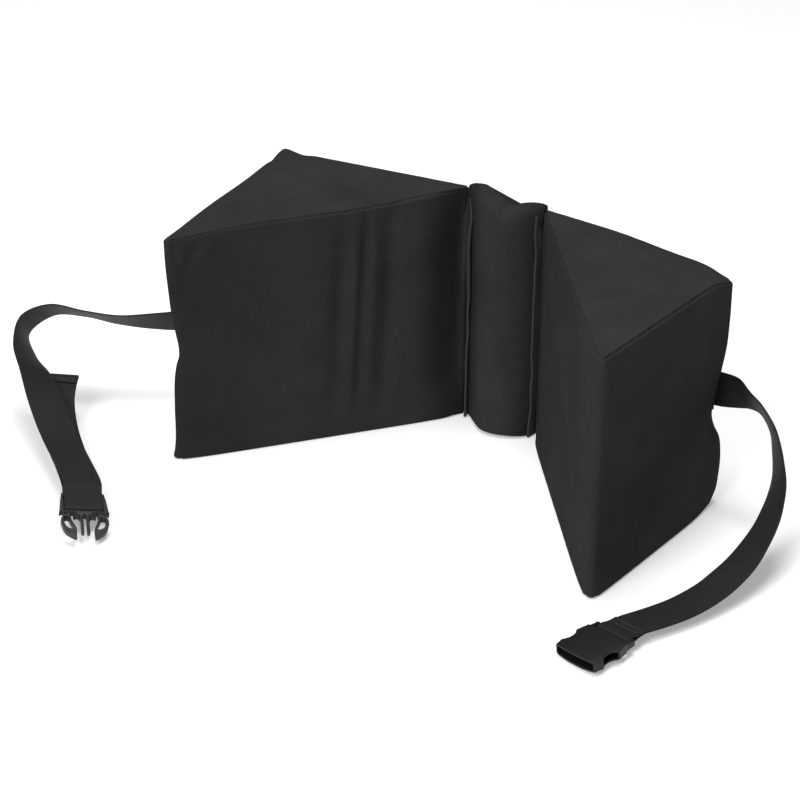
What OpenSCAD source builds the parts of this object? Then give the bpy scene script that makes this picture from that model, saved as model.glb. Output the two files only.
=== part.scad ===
// Lateral-support cushion: two upright foam wedges in cloth covers, hinged by cloth seams to a
// padded centre panel, with a webbing strap on each outer back corner and a side-release buckle.
// Frame: +X to the wearer's left hand side of the panel, -Y to the front, +Z up. The origin is
// on the floor in the middle of the cushion. Millimetres.

/* [Wedges] */
// Height of the cushion
height = 254; // [240:1:280]
// Depth of each wedge's outer face, corner to corner
outer_w = 230; // [215:1:240]
// Width of each wedge's back face, corner to corner
back_w = 222; // [210:1:235]
// How far each wedge is turned forward from the panel, degrees
splay = 5; // [0:0.5:6]
// Thickness of the cloth panels
cloth_t = 2; // [1.5:0.5:3]

/* [Centre panel] */
// Distance between the two hinge lines
hinge_gap = 82; // [78:1:90]
// How far the padding bulges to the front
front_bulge = 22; // [14:1:24]
// How far the padding bulges to the back
back_bulge = 4; // [2:0.5:4]

/* [Straps] */
// Width of the webbing
web_w = 38; // [36:0.5:38]
// Thickness of the webbing
web_t = 1.6; // [1.2:0.1:1.8]

/* [Zips] */
// Height of the zip's middle above the floor
zip_z = 36; // [30:1:60]
// Length of the zip
zip_l = 170; // [140:1:172]

/* [Hidden] */

hinge_y = 122;          // the hinge lines stand at (+-hinge_gap/2, hinge_y)
cloth = "#262728";
seam_c = "#303132";
foam = "#b9b6aa";
web_c = "#1f2021";
plastic = "#141516";
brass_c = "#55565a";

// corners of the left wedge in plan: C is the sharp edge at the hinge, B the outer back corner, A the front one
C = [-hinge_gap / 2, hinge_y];
u_back = [-cos(splay), -sin(splay)];     // along the back face, away from the hinge
u_out = [sin(splay), -cos(splay)];       // along the outer face, to the front
B = C + back_w * u_back;
A = B + outer_w * u_out;

// the same corners moved in by d on all three faces
function unit(v) = v / norm(v);
function corner(p, q, r, d) =
    let (a = unit(q - p), b = unit(r - p), half = acos(a * b) / 2) p + unit(a + b) * d / sin(half);
function wedge(d) = [corner(A, B, C, d), corner(B, C, A, d), corner(C, A, B, d)];

module mirrored(right) { if (right) mirror([1, 0, 0]) children(); else children(); }

// ---- wedges ----
module wedge_core(right) { mirrored(right) translate([0, 0, cloth_t]) linear_extrude(height - 2 * cloth_t) polygon(wedge(cloth_t)); }
module wedge_cap(right, z) { mirrored(right) translate([0, 0, z]) linear_extrude(cloth_t) polygon(wedge(0)); }
// a side panel is the slab between one edge of the outer triangle and the same edge of the inner one
module wedge_side(right, i, j) {
    o = wedge(0);
    n = wedge(cloth_t);
    mirrored(right) translate([0, 0, cloth_t]) linear_extrude(height - 2 * cloth_t) polygon([o[i], o[j], n[j], n[i]]);
}

// ---- centre panel ----
hw = hinge_gap / 2 - 0.6;
panel_n = 24;
function across(i) = -hw * cos(180 * i / panel_n);
function front_y(x, d) = hinge_y - 1 - (front_bulge - 1 - d) * pow(max(0, 1 - pow(x / (hw - d * 0.4), 2)), 0.8);
function back_y(x, d) = hinge_y + (back_bulge - d) * (1 - pow(x / hw, 2));
function skin(d) = [for (i = [0 : panel_n]) let (x = across(i) * (hw - d * 0.4) / hw) [x, front_y(x, d)]];
function skin_b(d) = [for (i = [panel_n : -1 : 0]) let (x = across(i) * (hw - d * 0.4) / hw) [x, back_y(x, d)]];
module panel_foam() { translate([0, 0, 2]) linear_extrude(height - 4) polygon(concat(skin(2), skin_b(2))); }
module panel_front() {
    linear_extrude(2) polygon(concat(skin(0), skin_b(2)));
    translate([0, 0, height - 2]) linear_extrude(2) polygon(concat(skin(0), skin_b(2)));
    translate([0, 0, 2]) linear_extrude(height - 4) difference() {
        polygon(concat(skin(0), skin_b(2)));
        polygon(concat(skin(2), [for (p = skin_b(2)) p + [0, 3]]));
    }
}
module panel_back() { linear_extrude(height) polygon(concat([for (i = [0 : panel_n]) skin_b(2)[panel_n - i]], skin_b(0))); }
// raised lip that stands out of the seam at the hinge line
module hinge_lip(right) {
    mirrored(right) translate([C[0], C[1], 1]) rotate([0, 0, -83])
        translate([2, 0, 0]) cube([6.4, 1.2, height - 2]);
}

// ---- zips, laid out on the left back face: x along the face from the hinge, y out of it ----
module on_back(right) { mirrored(right) translate([C[0], C[1], 0]) rotate([0, 0, 180 + splay]) mirror([0, 1, 0]) children(); }
zip_0 = 26;
zip_1 = zip_0 + zip_l;
slider_x = zip_1 - 12;
module zip_tape(right) { on_back(right) translate([zip_0, 0, zip_z - 13]) cube([zip_l, 0.7, 26]); }
module zip_teeth(right) { on_back(right) for (i = [0 : 1]) translate([zip_0 + 3, 0.7, zip_z - 2.6 + 2.7 * i]) cube([zip_l - 6, 1.3, 2.5]); }
module zip_slider(right) {
    on_back(right) difference() {
        union() {
            translate([slider_x - 6, 1.0, zip_z - 5.5]) cube([12, 3.0, 11]);
            for (s = [-1, 1]) translate([slider_x - 2.2, 3.8, zip_z + s * 4.6 - 0.9]) cube([4.4, 3.6, 1.8]);
            translate([slider_x, 5.8, zip_z - 5]) cylinder(r = 0.8, h = 10, $fn = 24);
        }
        translate([slider_x - 7, 0.5, zip_z - 2.9]) cube([14, 1.8, 5.8]);
    }
}
module zip_pull(right) {
    on_back(right) difference() {
        union() {
            translate([slider_x, 5.8, zip_z - 3.3]) cylinder(r = 1.6, h = 6.6, $fn = 24);
            translate([slider_x - 24, 5.3, zip_z - 3.3]) cube([24, 1.2, 6.6]);
        }
        translate([slider_x, 5.8, zip_z - 4]) cylinder(r = 1.1, h = 8, $fn = 24);
        translate([slider_x - 20, 4.8, zip_z - 1.5]) cube([10, 2.2, 3]);
    }
}

// ---- where the buckle halves lie: x to the front of the half, y across, z up; roll, pitch, heading ----
male_o = [-251, -265, 20.5];
male_a = [-9, 11, -48];
female_o = [296.5, -182.5, 11];
female_a = [3, 3.5, -105];
function rx(a, p) = [p[0], p[1] * cos(a) - p[2] * sin(a), p[1] * sin(a) + p[2] * cos(a)];
function ry(a, p) = [p[0] * cos(a) + p[2] * sin(a), p[1], -p[0] * sin(a) + p[2] * cos(a)];
function rz(a, p) = [p[0] * cos(a) - p[1] * sin(a), p[0] * sin(a) + p[1] * cos(a), p[2]];
function turn(a, p) = rz(a[2], ry(a[1], rx(a[0], p)));
function male_pt(p) = male_o + turn(male_a, p);
function female_pt(p) = female_o + turn(female_a, p);
male_w = turn(male_a, [0, -1, 0]);
female_w = turn(female_a, [0, 1, 0]);

// ---- straps ----
// Each route is a list of [point, direction across the webbing], from the cushion to the buckle.
left_route = [
    [[-240, 106.5, 127.5], [0, 0, 1]],
    [[-256, 105.1, 127.2], [0, 0, 1]],
    [[-272, 101.5, 125.5], [0.02, -0.1, 0.99]],
    [[-290, 88, 121], [0.1, -0.3, 0.95]],
    [[-299, 57, 108], [0.2, -0.4, 0.9]],
    [[-303, 24, 94], [0.2, -0.4, 0.9]],
    [[-320, -5, 88], [0.3, -0.4, 0.85]],
    [[-346, -27, 88], [0.4, -0.5, 0.78]],
    [[-375, -47, 90], [0.5, -0.6, 0.65]],
    [[-405, -64, 96], [0.5, -0.65, 0.58]],
    [[-434, -82, 100], [0.4, -0.6, 0.7]],
    [[-449, -109, 90], [0.2, -0.5, 0.85]],
    [[-432, -132, 74], [-0.2, -0.7, 0.7]],
    [[-404, -149, 62], [-0.4, -0.8, 0.4]],
    [[-377, -168, 49], [-0.55, -0.8, 0.2]],
    [[-350, -187, 38], [-0.6, -0.8, 0.1]],
    [[-322, -207, 31], [-0.6, -0.8, 0.12]],
    [[-294, -227, 29], [-0.62, -0.76, 0.16]],
    [male_pt([-20, 0, 3.6]), male_w],
    [male_pt([-4, 0, 4.2]), male_w],
    [male_pt([1.2, 0, 2.6]), male_w],
    [male_pt([2.6, 0, -1.4]), male_w]];
tail_route = [
    [male_pt([1.4, 0, -3.6]), male_w],
    [male_pt([-4, 0, -4.4]), male_w],
    [male_pt([-20, 0, -3.6]), male_w],
    [[-294, -225, 21], [-0.62, -0.76, 0.15]],
    [[-322, -203, 23], [-0.62, -0.76, 0.12]],
    [[-350, -179, 28], [-0.65, -0.75, 0.1]],
    [[-376, -152, 35], [-0.72, -0.68, 0.08]],
    [[-391, -131, 41], [-0.78, -0.61, 0.05]],
    [[-401, -113, 45], [-0.82, -0.57, 0.05]]];
right_route = [
    [[242, 106.6, 121], [0, 0, 1]],
    [[258, 105.6, 123], [0.02, -0.03, 1]],
    [[274, 105.5, 124], [0.1, -0.22, 0.96]],
    [[288, 103, 122], [0.25, -0.58, 0.78]],
    [[303, 98, 117], [0.38, -0.72, 0.58]],
    [[319, 88, 106], [0.45, -0.74, 0.5]],
    [[331, 75, 93], [0.5, -0.68, 0.52]],
    [[341, 60, 80], [0.54, -0.6, 0.57]],
    [[348, 44, 67], [0.65, -0.43, 0.62]],
    [[351.5, 26, 54], [0.75, -0.3, 0.58]],
    [[353, 8, 44], [0.83, -0.22, 0.5]],
    [[352, -12, 34], [0.9, -0.2, 0.38]],
    [[350, -32, 26], [0.95, -0.2, 0.25]],
    [[346, -52, 20], [0.97, -0.22, 0.16]],
    [[341, -73, 15.5], [0.96, -0.25, 0.12]],
    [[334, -94, 12.5], [0.95, -0.28, 0.08]],
    [[326, -114, 11], [0.94, -0.3, 0.06]],
    [[315, -136, 10.5], [0.94, -0.28, 0.05]],
    [female_pt([-25, 0, -1.6]), female_w]];

function cr(a, b, c, d, t) = 0.5 * (2 * b + (c - a) * t + (2 * a - 5 * b + 4 * c - d) * t * t + (3 * b - a - 3 * c + d) * t * t * t);
function at(r, i) = i < 0 ? 2 * r[0] - r[1] : i >= len(r) ? 2 * r[len(r) - 1] - r[len(r) - 2] : r[i];
function col(r, k) = [for (q = r) q[k]];
function smooth(r, m) = concat([for (i = [0 : len(r) - 2], j = [0 : m - 1]) cr(at(r, i - 1), r[i], r[i + 1], at(r, i + 2), j / m)], [r[len(r) - 1]]);
function along(p, i) = unit(p[min(i + 1, len(p) - 1)] - p[max(i - 1, 0)]);
// one ring of a flat band: its corners, for centre p, across w, tangent t
function ring(p, w, t, ww, tt) = let (s = unit(w - t * (w * t)), n = cross(t, s))
    [p + s * ww / 2 + n * tt / 2, p - s * ww / 2 + n * tt / 2, p - s * ww / 2 - n * tt / 2, p + s * ww / 2 - n * tt / 2];
module band(route, m, ww, tt) {
    p = smooth(col(route, 0), m);
    w = smooth(col(route, 1), m);
    n = len(p);
    pts = [for (i = [0 : n - 1]) each ring(p[i], w[i], along(p, i), ww, tt)];
    polyhedron(points = pts, faces = concat([[0, 1, 2, 3]],
        [for (i = [0 : n - 2], k = [0 : 3], h = [0, 1]) let (a = 4 * i + k, b = 4 * i + (k + 1) % 4)
            h == 0 ? [a, a + 4, b] : [b, a + 4, b + 4]],
        [[4 * n - 1, 4 * n - 2, 4 * n - 3, 4 * n - 4]]));
}
// patch on the back panel that the strap is sewn to, near the outer corner
module strap_anchor(right) { on_back(right) translate([190, 0, height / 2 - 29]) cube([28, 1.1, 52]); }

module male_place() { translate(male_o) rotate([0, 0, male_a[2]]) rotate([0, male_a[1], 0]) rotate([male_a[0], 0, 0]) children(); }
module female_place() { translate(female_o) rotate([0, 0, female_a[2]]) rotate([0, female_a[1], 0]) rotate([female_a[0], 0, 0]) children(); }

module male_frame() {
    male_place() {
        difference() {
            union() {
                translate([0, 0, -3]) linear_extrude(6) polygon([[-5, -22.6], [14, -23.6], [22, -24.5], [27, -23.4], [27, 23.4], [22, 24.5], [14, 23.6], [-5, 22.6]]);
                translate([-4, 22.6, 0]) rotate([90, 0, 0]) cylinder(r = 3, h = 45.2, $fn = 32);
            }
            translate([-0.6, -19.6, -4]) cube([6.2, 39.2, 8]);
            translate([13.6, -19.6, -4]) cube([4.4, 39.2, 8]);
            translate([5, -19.6, 1.6]) cube([9, 39.2, 3]);
        }
        for (i = [0 : 2]) translate([7 + 2.7 * i, 19.4, 1.5]) rotate([90, 0, 0]) cylinder(r = 0.9, h = 38.8, $fn = 20);
        for (s = [-1, 1]) translate([26.5, s * 2.9 - 1.5, -2.2]) cube([29.5, 3, 4.4]);
        translate([26.5, -8, -2.6]) cube([3.5, 16, 5.2]);
    }
}
module male_arm(s) {
    male_place() mirror([0, s < 0 ? 1 : 0, 0]) translate([0, 0, -3]) linear_extrude(6)
        polygon([[27.4, 10.5], [27.4, 14.5], [31, 16.5], [33, 19], [32, 22], [32.5, 24], [40, 25], [51, 24.2], [59, 20],
            [64.5, 13.5], [65.5, 9], [63, 7.4], [56, 9.4], [49, 14], [43, 15.6], [37, 13.8], [33, 10.8]]);
}
module female_shell() {
    female_place() {
        rotate([90, 0, 0]) translate([0, 0, -22.6]) cylinder(r = 2.2, h = 45.2, $fn = 32);
        for (s = [-1, 1]) translate([-3.2, s * 21.3 - 2, -4.4]) cube([14, 4, 8.8]);
        difference() {
            translate([0, 0, -6]) linear_extrude(12) polygon([[7.5, -23.3], [14, -24.5], [20, -26.2], [42, -26.6], [51, -25.4],
                [51, 25.4], [42, 26.6], [20, 26.2], [14, 24.5], [7.5, 23.3]]);
            translate([11, -23.6, -4]) cube([41, 47.2, 8]);
            for (s = [-1, 1]) translate([21, s * 25 - 5, -4]) cube([20, 10, 8]);
            for (s = [-1, 1]) translate([31, s * 35, -7]) cylinder(r = 13, h = 14, $fn = 48);
        }
    }
}
// sewn return of the right strap round the bar; legs meet face to face behind the bar
module strap_loop() {
    female_place() rotate([90, 0, 0]) translate([0, 0, -web_w / 2 + 0.5]) linear_extrude(web_w - 1) {
        difference() { circle(r = 4.1, $fn = 48); circle(r = 2.6, $fn = 48); translate([-6.4, -5]) square([6, 10]); }
        polygon([[0, -2.6], [0, -4.1], [-6, -4.1], [-14, -2.3], [-24, -2.3], [-24, -0.8], [-14, -0.8], [-6, -2.6]]);
        polygon([[0, 2.6], [0, 4.1], [-6, 4.1], [-14, 0.8], [-22, 0.8], [-22, -0.7], [-14, -0.7], [-6, 2.6]]);
    }
}
module loop_thread() {
    female_place() for (x = [-19.5, -15]) translate([x - 0.5, -16, 0.8]) cube([1, 32, 0.5]);
}
// end of the tail, folded back and sewn
module hem_thread() {
    p = smooth(col(tail_route, 0), 3);
    w = smooth(col(tail_route, 1), 3);
    k = len(p) - 3;
    t = along(p, k);
    s = unit(w[k] - t * (w[k] * t));
    nn = cross(t, s);
    up = nn[2] > 0 ? nn : -nn;
    polyhedron(points = [for (z = [web_t / 2, web_t / 2 + 0.6], q = [[-14, -0.6], [14, -0.6], [14, 0.6], [-14, 0.6]])
            p[k] + s * q[0] + t * q[1] + up * z],
        faces = nn[2] <= 0 ? [[0, 1, 2, 3], [7, 6, 5, 4], [0, 4, 5, 1], [1, 5, 6, 2], [2, 6, 7, 3], [3, 7, 4, 0]]
            : [[3, 2, 1, 0], [4, 5, 6, 7], [1, 5, 4, 0], [2, 6, 5, 1], [3, 7, 6, 2], [0, 4, 7, 3]]);
}

color(foam) panel_foam();  // centre_foam_pad
color(cloth) panel_front();  // centre_front_cover
color(cloth) panel_back();  // centre_back_cover
color(seam_c) hinge_lip(false);  // left_hinge_seam
color(seam_c) hinge_lip(true);  // right_hinge_seam
color(foam) wedge_core(false);  // left_foam_core
color(cloth) wedge_side(false, 2, 0);  // left_inner_panel
color(cloth) wedge_side(false, 0, 1);  // left_outer_panel
color(cloth) wedge_side(false, 1, 2);  // left_back_panel
color(cloth) wedge_cap(false, height - cloth_t);  // left_top_panel
color(cloth) wedge_cap(false, 0);  // left_bottom_panel
color(foam) wedge_core(true);  // right_foam_core
color(cloth) wedge_side(true, 2, 0);  // right_inner_panel
color(cloth) wedge_side(true, 0, 1);  // right_outer_panel
color(cloth) wedge_side(true, 1, 2);  // right_back_panel
color(cloth) wedge_cap(true, height - cloth_t);  // right_top_panel
color(cloth) wedge_cap(true, 0);  // right_bottom_panel
color(cloth) zip_tape(false);  // left_zip_tape
color(plastic) zip_teeth(false);  // left_zip_teeth
color(brass_c) zip_slider(false);  // left_zip_slider
color(brass_c) zip_pull(false);  // left_zip_pull
color(cloth) zip_tape(true);  // right_zip_tape
color(plastic) zip_teeth(true);  // right_zip_teeth
color(brass_c) zip_slider(true);  // right_zip_slider
color(brass_c) zip_pull(true);  // right_zip_pull
color(web_c) strap_anchor(false);  // left_strap_anchor
color(web_c) strap_anchor(true);  // right_strap_anchor
color(web_c) band(left_route, 3, web_w, web_t);  // left_strap
color(web_c) band(tail_route, 3, web_w, web_t);  // left_strap_tail
color(seam_c) hem_thread();  // tail_hem_stitching
color(web_c) band(right_route, 3, web_w, web_t);  // right_strap
color(web_c) strap_loop();  // right_strap_loop
color(seam_c) loop_thread();  // loop_stitching
color(plastic) male_frame();  // male_buckle_frame
color(plastic) male_arm(-1);  // male_buckle_left_arm
color(plastic) male_arm(1);  // male_buckle_right_arm
color(plastic) female_shell();  // female_buckle_shell
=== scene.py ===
import math
import bmesh
import bpy
import numpy as np
from mathutils import Matrix, Vector


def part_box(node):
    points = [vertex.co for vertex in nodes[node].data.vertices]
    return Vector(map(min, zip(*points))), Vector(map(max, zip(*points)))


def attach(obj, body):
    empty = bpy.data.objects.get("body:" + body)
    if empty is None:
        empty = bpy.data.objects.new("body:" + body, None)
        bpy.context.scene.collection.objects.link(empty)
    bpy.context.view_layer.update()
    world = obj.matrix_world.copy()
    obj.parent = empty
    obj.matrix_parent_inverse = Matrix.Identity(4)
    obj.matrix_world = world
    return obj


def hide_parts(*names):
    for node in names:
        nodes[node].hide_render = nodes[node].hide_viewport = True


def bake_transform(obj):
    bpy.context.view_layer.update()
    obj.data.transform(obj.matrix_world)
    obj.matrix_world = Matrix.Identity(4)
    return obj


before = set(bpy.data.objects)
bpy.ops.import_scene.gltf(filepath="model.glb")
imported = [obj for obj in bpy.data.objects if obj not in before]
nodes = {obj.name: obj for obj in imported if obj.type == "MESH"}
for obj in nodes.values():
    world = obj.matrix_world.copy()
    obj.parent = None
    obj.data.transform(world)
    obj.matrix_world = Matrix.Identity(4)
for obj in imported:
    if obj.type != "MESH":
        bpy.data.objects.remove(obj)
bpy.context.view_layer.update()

MM = 0.001
sc = bpy.context.scene
sc.view_settings.view_transform = "Standard"
sc.view_settings.look = "None"
rng = np.random.default_rng(7)

# ------------------------------------------------------------------ camera and light
az, el, dist = math.radians(32.30), math.radians(28.26), 2.4504
rt = np.array([math.cos(az), math.sin(az), 0])
back = np.array([math.sin(az) * math.cos(el), -math.cos(az) * math.cos(el), math.sin(el)])
up = np.cross(rt, -back)
target = np.array([0, 0.003, 0.127]) + rt * -0.0437 + up * -0.04039
eye = target + back * dist
cr_, sr_ = math.cos(math.radians(0.46)), math.sin(math.radians(0.46))
r2, u2 = cr_ * rt + sr_ * up, -sr_ * rt + cr_ * up
cam = bpy.data.cameras.new("camera")
cam.lens, cam.sensor_width, cam.clip_end = 110.69, 36, 50
cam_o = bpy.data.objects.new("camera", cam)
sc.collection.objects.link(cam_o)
cam_o.matrix_world = Matrix([[r2[i], u2[i], back[i], eye[i]] for i in range(3)] + [[0, 0, 0, 1]])
sc.camera = cam_o


def area(name, loc, look, size, power, color=(1, 1, 1)):
    d = bpy.data.lights.new(name, "AREA")
    d.shape, d.size, d.energy, d.color = "DISK", size, power, color
    o = bpy.data.objects.new(name, d)
    sc.collection.objects.link(o)
    o.location = loc
    o.rotation_euler = (Vector(look) - Vector(loc)).to_track_quat("-Z", "Y").to_euler()
    return o


area("key", (0.0, -2.3, 2.1), (0, 0, 0.12), 1.4, 46)
area("top", (-0.1, 0.1, 3.2), (0, 0, 0.1), 1.8, 62)
world = bpy.data.worlds.new("world")
sc.world = world
world.use_nodes = True
bg = world.node_tree.nodes["Background"]
bg.inputs[0].default_value = (1, 1, 1, 1)
bg.inputs[1].default_value = 0.20


# ------------------------------------------------------------------ materials
class Nodes:
    def __init__(self, name):
        self.m = bpy.data.materials.new(name)
        self.m.use_nodes = True
        self.t = self.m.node_tree
        self.bsdf = self.t.nodes["Principled BSDF"]

    def new(self, kind, **kw):
        n = self.t.nodes.new(kind)
        for k, v in kw.items():
            setattr(n, k, v)
        return n

    def link(self, a, b):
        self.t.links.new(a, b)

    def math(self, op, a, b=None, c=None):
        n = self.new("ShaderNodeMath", operation=op)
        for i, v in enumerate((a, b, c)):
            if v is None:
                continue
            if isinstance(v, (int, float)):
                n.inputs[i].default_value = v
            else:
                self.link(v, n.inputs[i])
        return n.outputs[0]

    def noise(self, vec, scale, detail=2.0, rough=0.5):
        n = self.new("ShaderNodeTexNoise")
        n.inputs["Scale"].default_value = scale
        n.inputs["Detail"].default_value = detail
        n.inputs["Roughness"].default_value = rough
        self.link(vec, n.inputs["Vector"])
        return n.outputs["Fac"]

    def ramp(self, fac, stops):
        n = self.new("ShaderNodeValToRGB")
        e = n.color_ramp.elements
        while len(e) < len(stops):
            e.new(0.5)
        for q, (p, c) in zip(e, stops):
            q.position, q.color = p, (*c, 1)
        self.link(fac, n.inputs[0])
        return n.outputs[0]

    def bump(self, height, strength, distance, normal=None):
        n = self.new("ShaderNodeBump")
        n.inputs["Strength"].default_value = strength
        n.inputs["Distance"].default_value = distance
        self.link(height, n.inputs["Height"])
        if normal is not None:
            self.link(normal, n.inputs["Normal"])
        return n.outputs[0]

    def set(self, **kw):
        for k, v in kw.items():
            self.bsdf.inputs[k.replace("_", " ")].default_value = v


def grey(v, tint=(1.0, 1.0, 1.0)):
    return tuple(v * t for t in tint)


def cloth_material(name, base, pitch=0.0011, sheen=0.015, bump=0.5, var=0.10):
    """Brushed knit laminate: fine loops, soft fuzz, broad mottling."""
    n = Nodes(name)
    tc = n.new("ShaderNodeTexCoord")
    uv = n.new("ShaderNodeUVMap")
    sep = n.new("ShaderNodeSeparateXYZ")
    n.link(uv.outputs[0], sep.inputs[0])
    u, v = sep.outputs[0], sep.outputs[1]
    k = 2 * math.pi / pitch
    su = n.math("SINE", n.math("MULTIPLY", u, k))
    sv = n.math("SINE", n.math("ADD", n.math("MULTIPLY", v, k * 1.25), n.math("MULTIPLY", su, 0.9)))
    knit = n.math("MULTIPLY", n.math("ABSOLUTE", su), n.math("ADD", n.math("MULTIPLY", sv, 0.5), 0.5))
    fuzz = n.noise(tc.outputs["Object"], 900, 3, 0.6)
    broad = n.noise(tc.outputs["Object"], 14, 3, 0.55)
    mid = n.noise(tc.outputs["Object"], 330, 3, 0.65)
    mix = n.math("ADD", n.math("MULTIPLY", broad, 0.45), n.math("ADD", n.math("MULTIPLY", mid, 0.3), n.math("MULTIPLY", fuzz, 0.25)))
    lo, hi = base * (1 - var * 1.6), base * (1 + var * 1.6)
    col = n.ramp(mix, [(0.34, grey(lo, (1, 1.01, 1.02))), (0.66, grey(hi, (1.0, 1.0, 1.0)))])
    # painted shade and light, 0 where nothing is set: a tuned darkening beside the hinges and a slight lightening
    # elsewhere, which stays on the cloth in every pose
    painted_shading = n.new("ShaderNodeAttribute")
    painted_shading.attribute_name = "painted_light_and_shade"
    keep = n.math("ADD", n.math("MULTIPLY", painted_shading.outputs["Fac"], -1.0), 1.0)
    painted_shading_scale = n.new("ShaderNodeVectorMath")
    painted_shading_scale.operation = "SCALE"
    n.link(col, painted_shading_scale.inputs[0])
    n.link(keep, painted_shading_scale.inputs["Scale"])
    n.link(painted_shading_scale.outputs[0], n.bsdf.inputs["Base Color"])
    rough = n.math("ADD", n.math("MULTIPLY", mid, 0.12), 0.78)
    n.link(rough, n.bsdf.inputs["Roughness"])
    h = n.math("ADD", n.math("MULTIPLY", knit, 0.6), n.math("MULTIPLY", fuzz, 0.7))
    b1 = n.bump(mid, 0.10, 0.0006)
    n.link(n.bump(h, bump, 0.00016, b1), n.bsdf.inputs["Normal"])
    n.set(Specular_IOR_Level=0.0, Sheen_Weight=sheen, Sheen_Roughness=0.5)
    return n.m


def webbing_material(name, base):
    """Flat woven polypropylene: columns along the strap, each yarn passing over and under."""
    n = Nodes(name)
    tc = n.new("ShaderNodeTexCoord")
    uv = n.new("ShaderNodeUVMap")
    sep = n.new("ShaderNodeSeparateXYZ")
    n.link(uv.outputs[0], sep.inputs[0])
    u, v = sep.outputs[0], sep.outputs[1]
    q, p = 0.00158, 0.0021
    column = n.math("FLOOR", n.math("DIVIDE", v, q))
    rib = n.math("ABSOLUTE", n.math("SINE", n.math("MULTIPLY", v, math.pi / q)))
    phase = n.math("MULTIPLY", column, math.pi * 0.5)
    over = n.math("SINE", n.math("ADD", n.math("MULTIPLY", u, 2 * math.pi / p), phase))
    weave = n.math("MULTIPLY", n.math("POWER", rib, 0.55), n.math("ADD", n.math("MULTIPLY", over, 0.36), 0.64))
    fuzz = n.noise(tc.outputs["Object"], 1500, 2, 0.6)
    broad = n.noise(tc.outputs["Object"], 30, 3, 0.55)
    mix = n.math("ADD", n.math("MULTIPLY", weave, 0.55), n.math("ADD", n.math("MULTIPLY", fuzz, 0.2), n.math("MULTIPLY", broad, 0.3)))
    col = n.ramp(mix, [(0.2, grey(base * 0.6)), (0.55, grey(base)), (0.9, grey(base * 1.5))])
    n.link(col, n.bsdf.inputs["Base Color"])
    rough = n.math("ADD", n.math("MULTIPLY", broad, 0.2), 0.46)
    n.link(rough, n.bsdf.inputs["Roughness"])
    h = n.math("ADD", weave, n.math("MULTIPLY", fuzz, 0.12))
    n.link(n.bump(h, 0.75, 0.00028), n.bsdf.inputs["Normal"])
    n.set(Specular_IOR_Level=0.14, Sheen_Weight=0.01, Sheen_Roughness=0.4)
    return n.m


def plastic_material(name, base, rough=0.42, grain=0.35, scale=2600):
    """Moulded acetal with a fine spark-eroded texture."""
    n = Nodes(name)
    tc = n.new("ShaderNodeTexCoord")
    fine = n.noise(tc.outputs["Object"], scale, 2, 0.6)
    broad = n.noise(tc.outputs["Object"], 60, 3, 0.6)
    scuff = n.noise(tc.outputs["Object"], 420, 4, 0.75)
    col = n.ramp(broad, [(0.3, grey(base * 0.85)), (0.7, grey(base * 1.2))])
    n.link(col, n.bsdf.inputs["Base Color"])
    r = n.math("ADD", n.math("MULTIPLY", scuff, 0.22), rough - 0.11)
    n.link(r, n.bsdf.inputs["Roughness"])
    n.link(n.bump(fine, grain, 0.00006), n.bsdf.inputs["Normal"])
    n.set(Specular_IOR_Level=0.3)
    return n.m


def thread_material(name, base):
    n = Nodes(name)
    tc = n.new("ShaderNodeTexCoord")
    tw = n.noise(tc.outputs["Object"], 3000, 2, 0.5)
    col = n.ramp(tw, [(0.3, grey(base * 0.7)), (0.7, grey(base * 1.3))])
    n.link(col, n.bsdf.inputs["Base Color"])
    n.link(n.bump(tw, 0.5, 0.00008), n.bsdf.inputs["Normal"])
    n.set(Roughness=0.5, Specular_IOR_Level=0.4, Sheen_Weight=0.1)
    return n.m


def metal_material(name, base):
    n = Nodes(name)
    tc = n.new("ShaderNodeTexCoord")
    fine = n.noise(tc.outputs["Object"], 1800, 3, 0.6)
    wear = n.noise(tc.outputs["Object"], 260, 4, 0.7)
    col = n.ramp(wear, [(0.35, grey(base)), (0.62, grey(base * 1.25)), (0.82, grey(base * 2.6))])
    n.link(col, n.bsdf.inputs["Base Color"])
    r = n.math("ADD", n.math("MULTIPLY", wear, 0.3), 0.24)
    n.link(r, n.bsdf.inputs["Roughness"])
    n.link(n.bump(fine, 0.2, 0.00005), n.bsdf.inputs["Normal"])
    n.set(Metallic=0.55)
    return n.m


M_COVER = cloth_material("cover_cloth", 0.0285, var=0.15)
M_PANEL = cloth_material("panel_cloth", 0.0300, var=0.15)
# the seam fins' cloth is lighter than the cover cloth: a painted highlight along the fins
M_SEAM = cloth_material("seam_cloth", 0.046, sheen=0.03)
M_WEB = webbing_material("webbing", 0.0195)
M_PLASTIC = plastic_material("buckle_plastic", 0.0085, 0.5)
M_THREAD = thread_material("thread", 0.035)
M_TAPE = webbing_material("zip_tape", 0.017)
M_TEETH = plastic_material("zip_teeth", 0.016, 0.38)
M_METAL = metal_material("zip_metal", 0.03)
# the male half is the same plastic as the female half, painted lighter: painted light
M_MALE = plastic_material("buckle_plastic_male", 0.030, 0.4)  # lighter than the other half by tuning, not a different plastic

floor_m = Nodes("floor")
floor_m.set(Roughness=0.9, Specular_IOR_Level=0.1, Emission_Strength=0.3, Emission_Color=(1, 1, 1, 1))
tcf = floor_m.new("ShaderNodeTexCoord")
floor_m.link(floor_m.ramp(floor_m.noise(tcf.outputs["Object"], 1.5, 2, 0.5), [(0.3, (0.93, 0.93, 0.93)), (0.7, (0.95, 0.95, 0.95))]), floor_m.bsdf.inputs["Base Color"])


# ------------------------------------------------------------------ mesh helpers (millimetres in, metres out)
# per-point painted shade and light for the cloth materials: 0.3 darkens by 30%, a negative value lightens
def set_painted_shading(o, values):
    a = o.data.attributes.new("painted_light_and_shade", "FLOAT", "POINT")
    a.data.foreach_set("value", np.asarray(values, np.float32))
    return o


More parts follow.
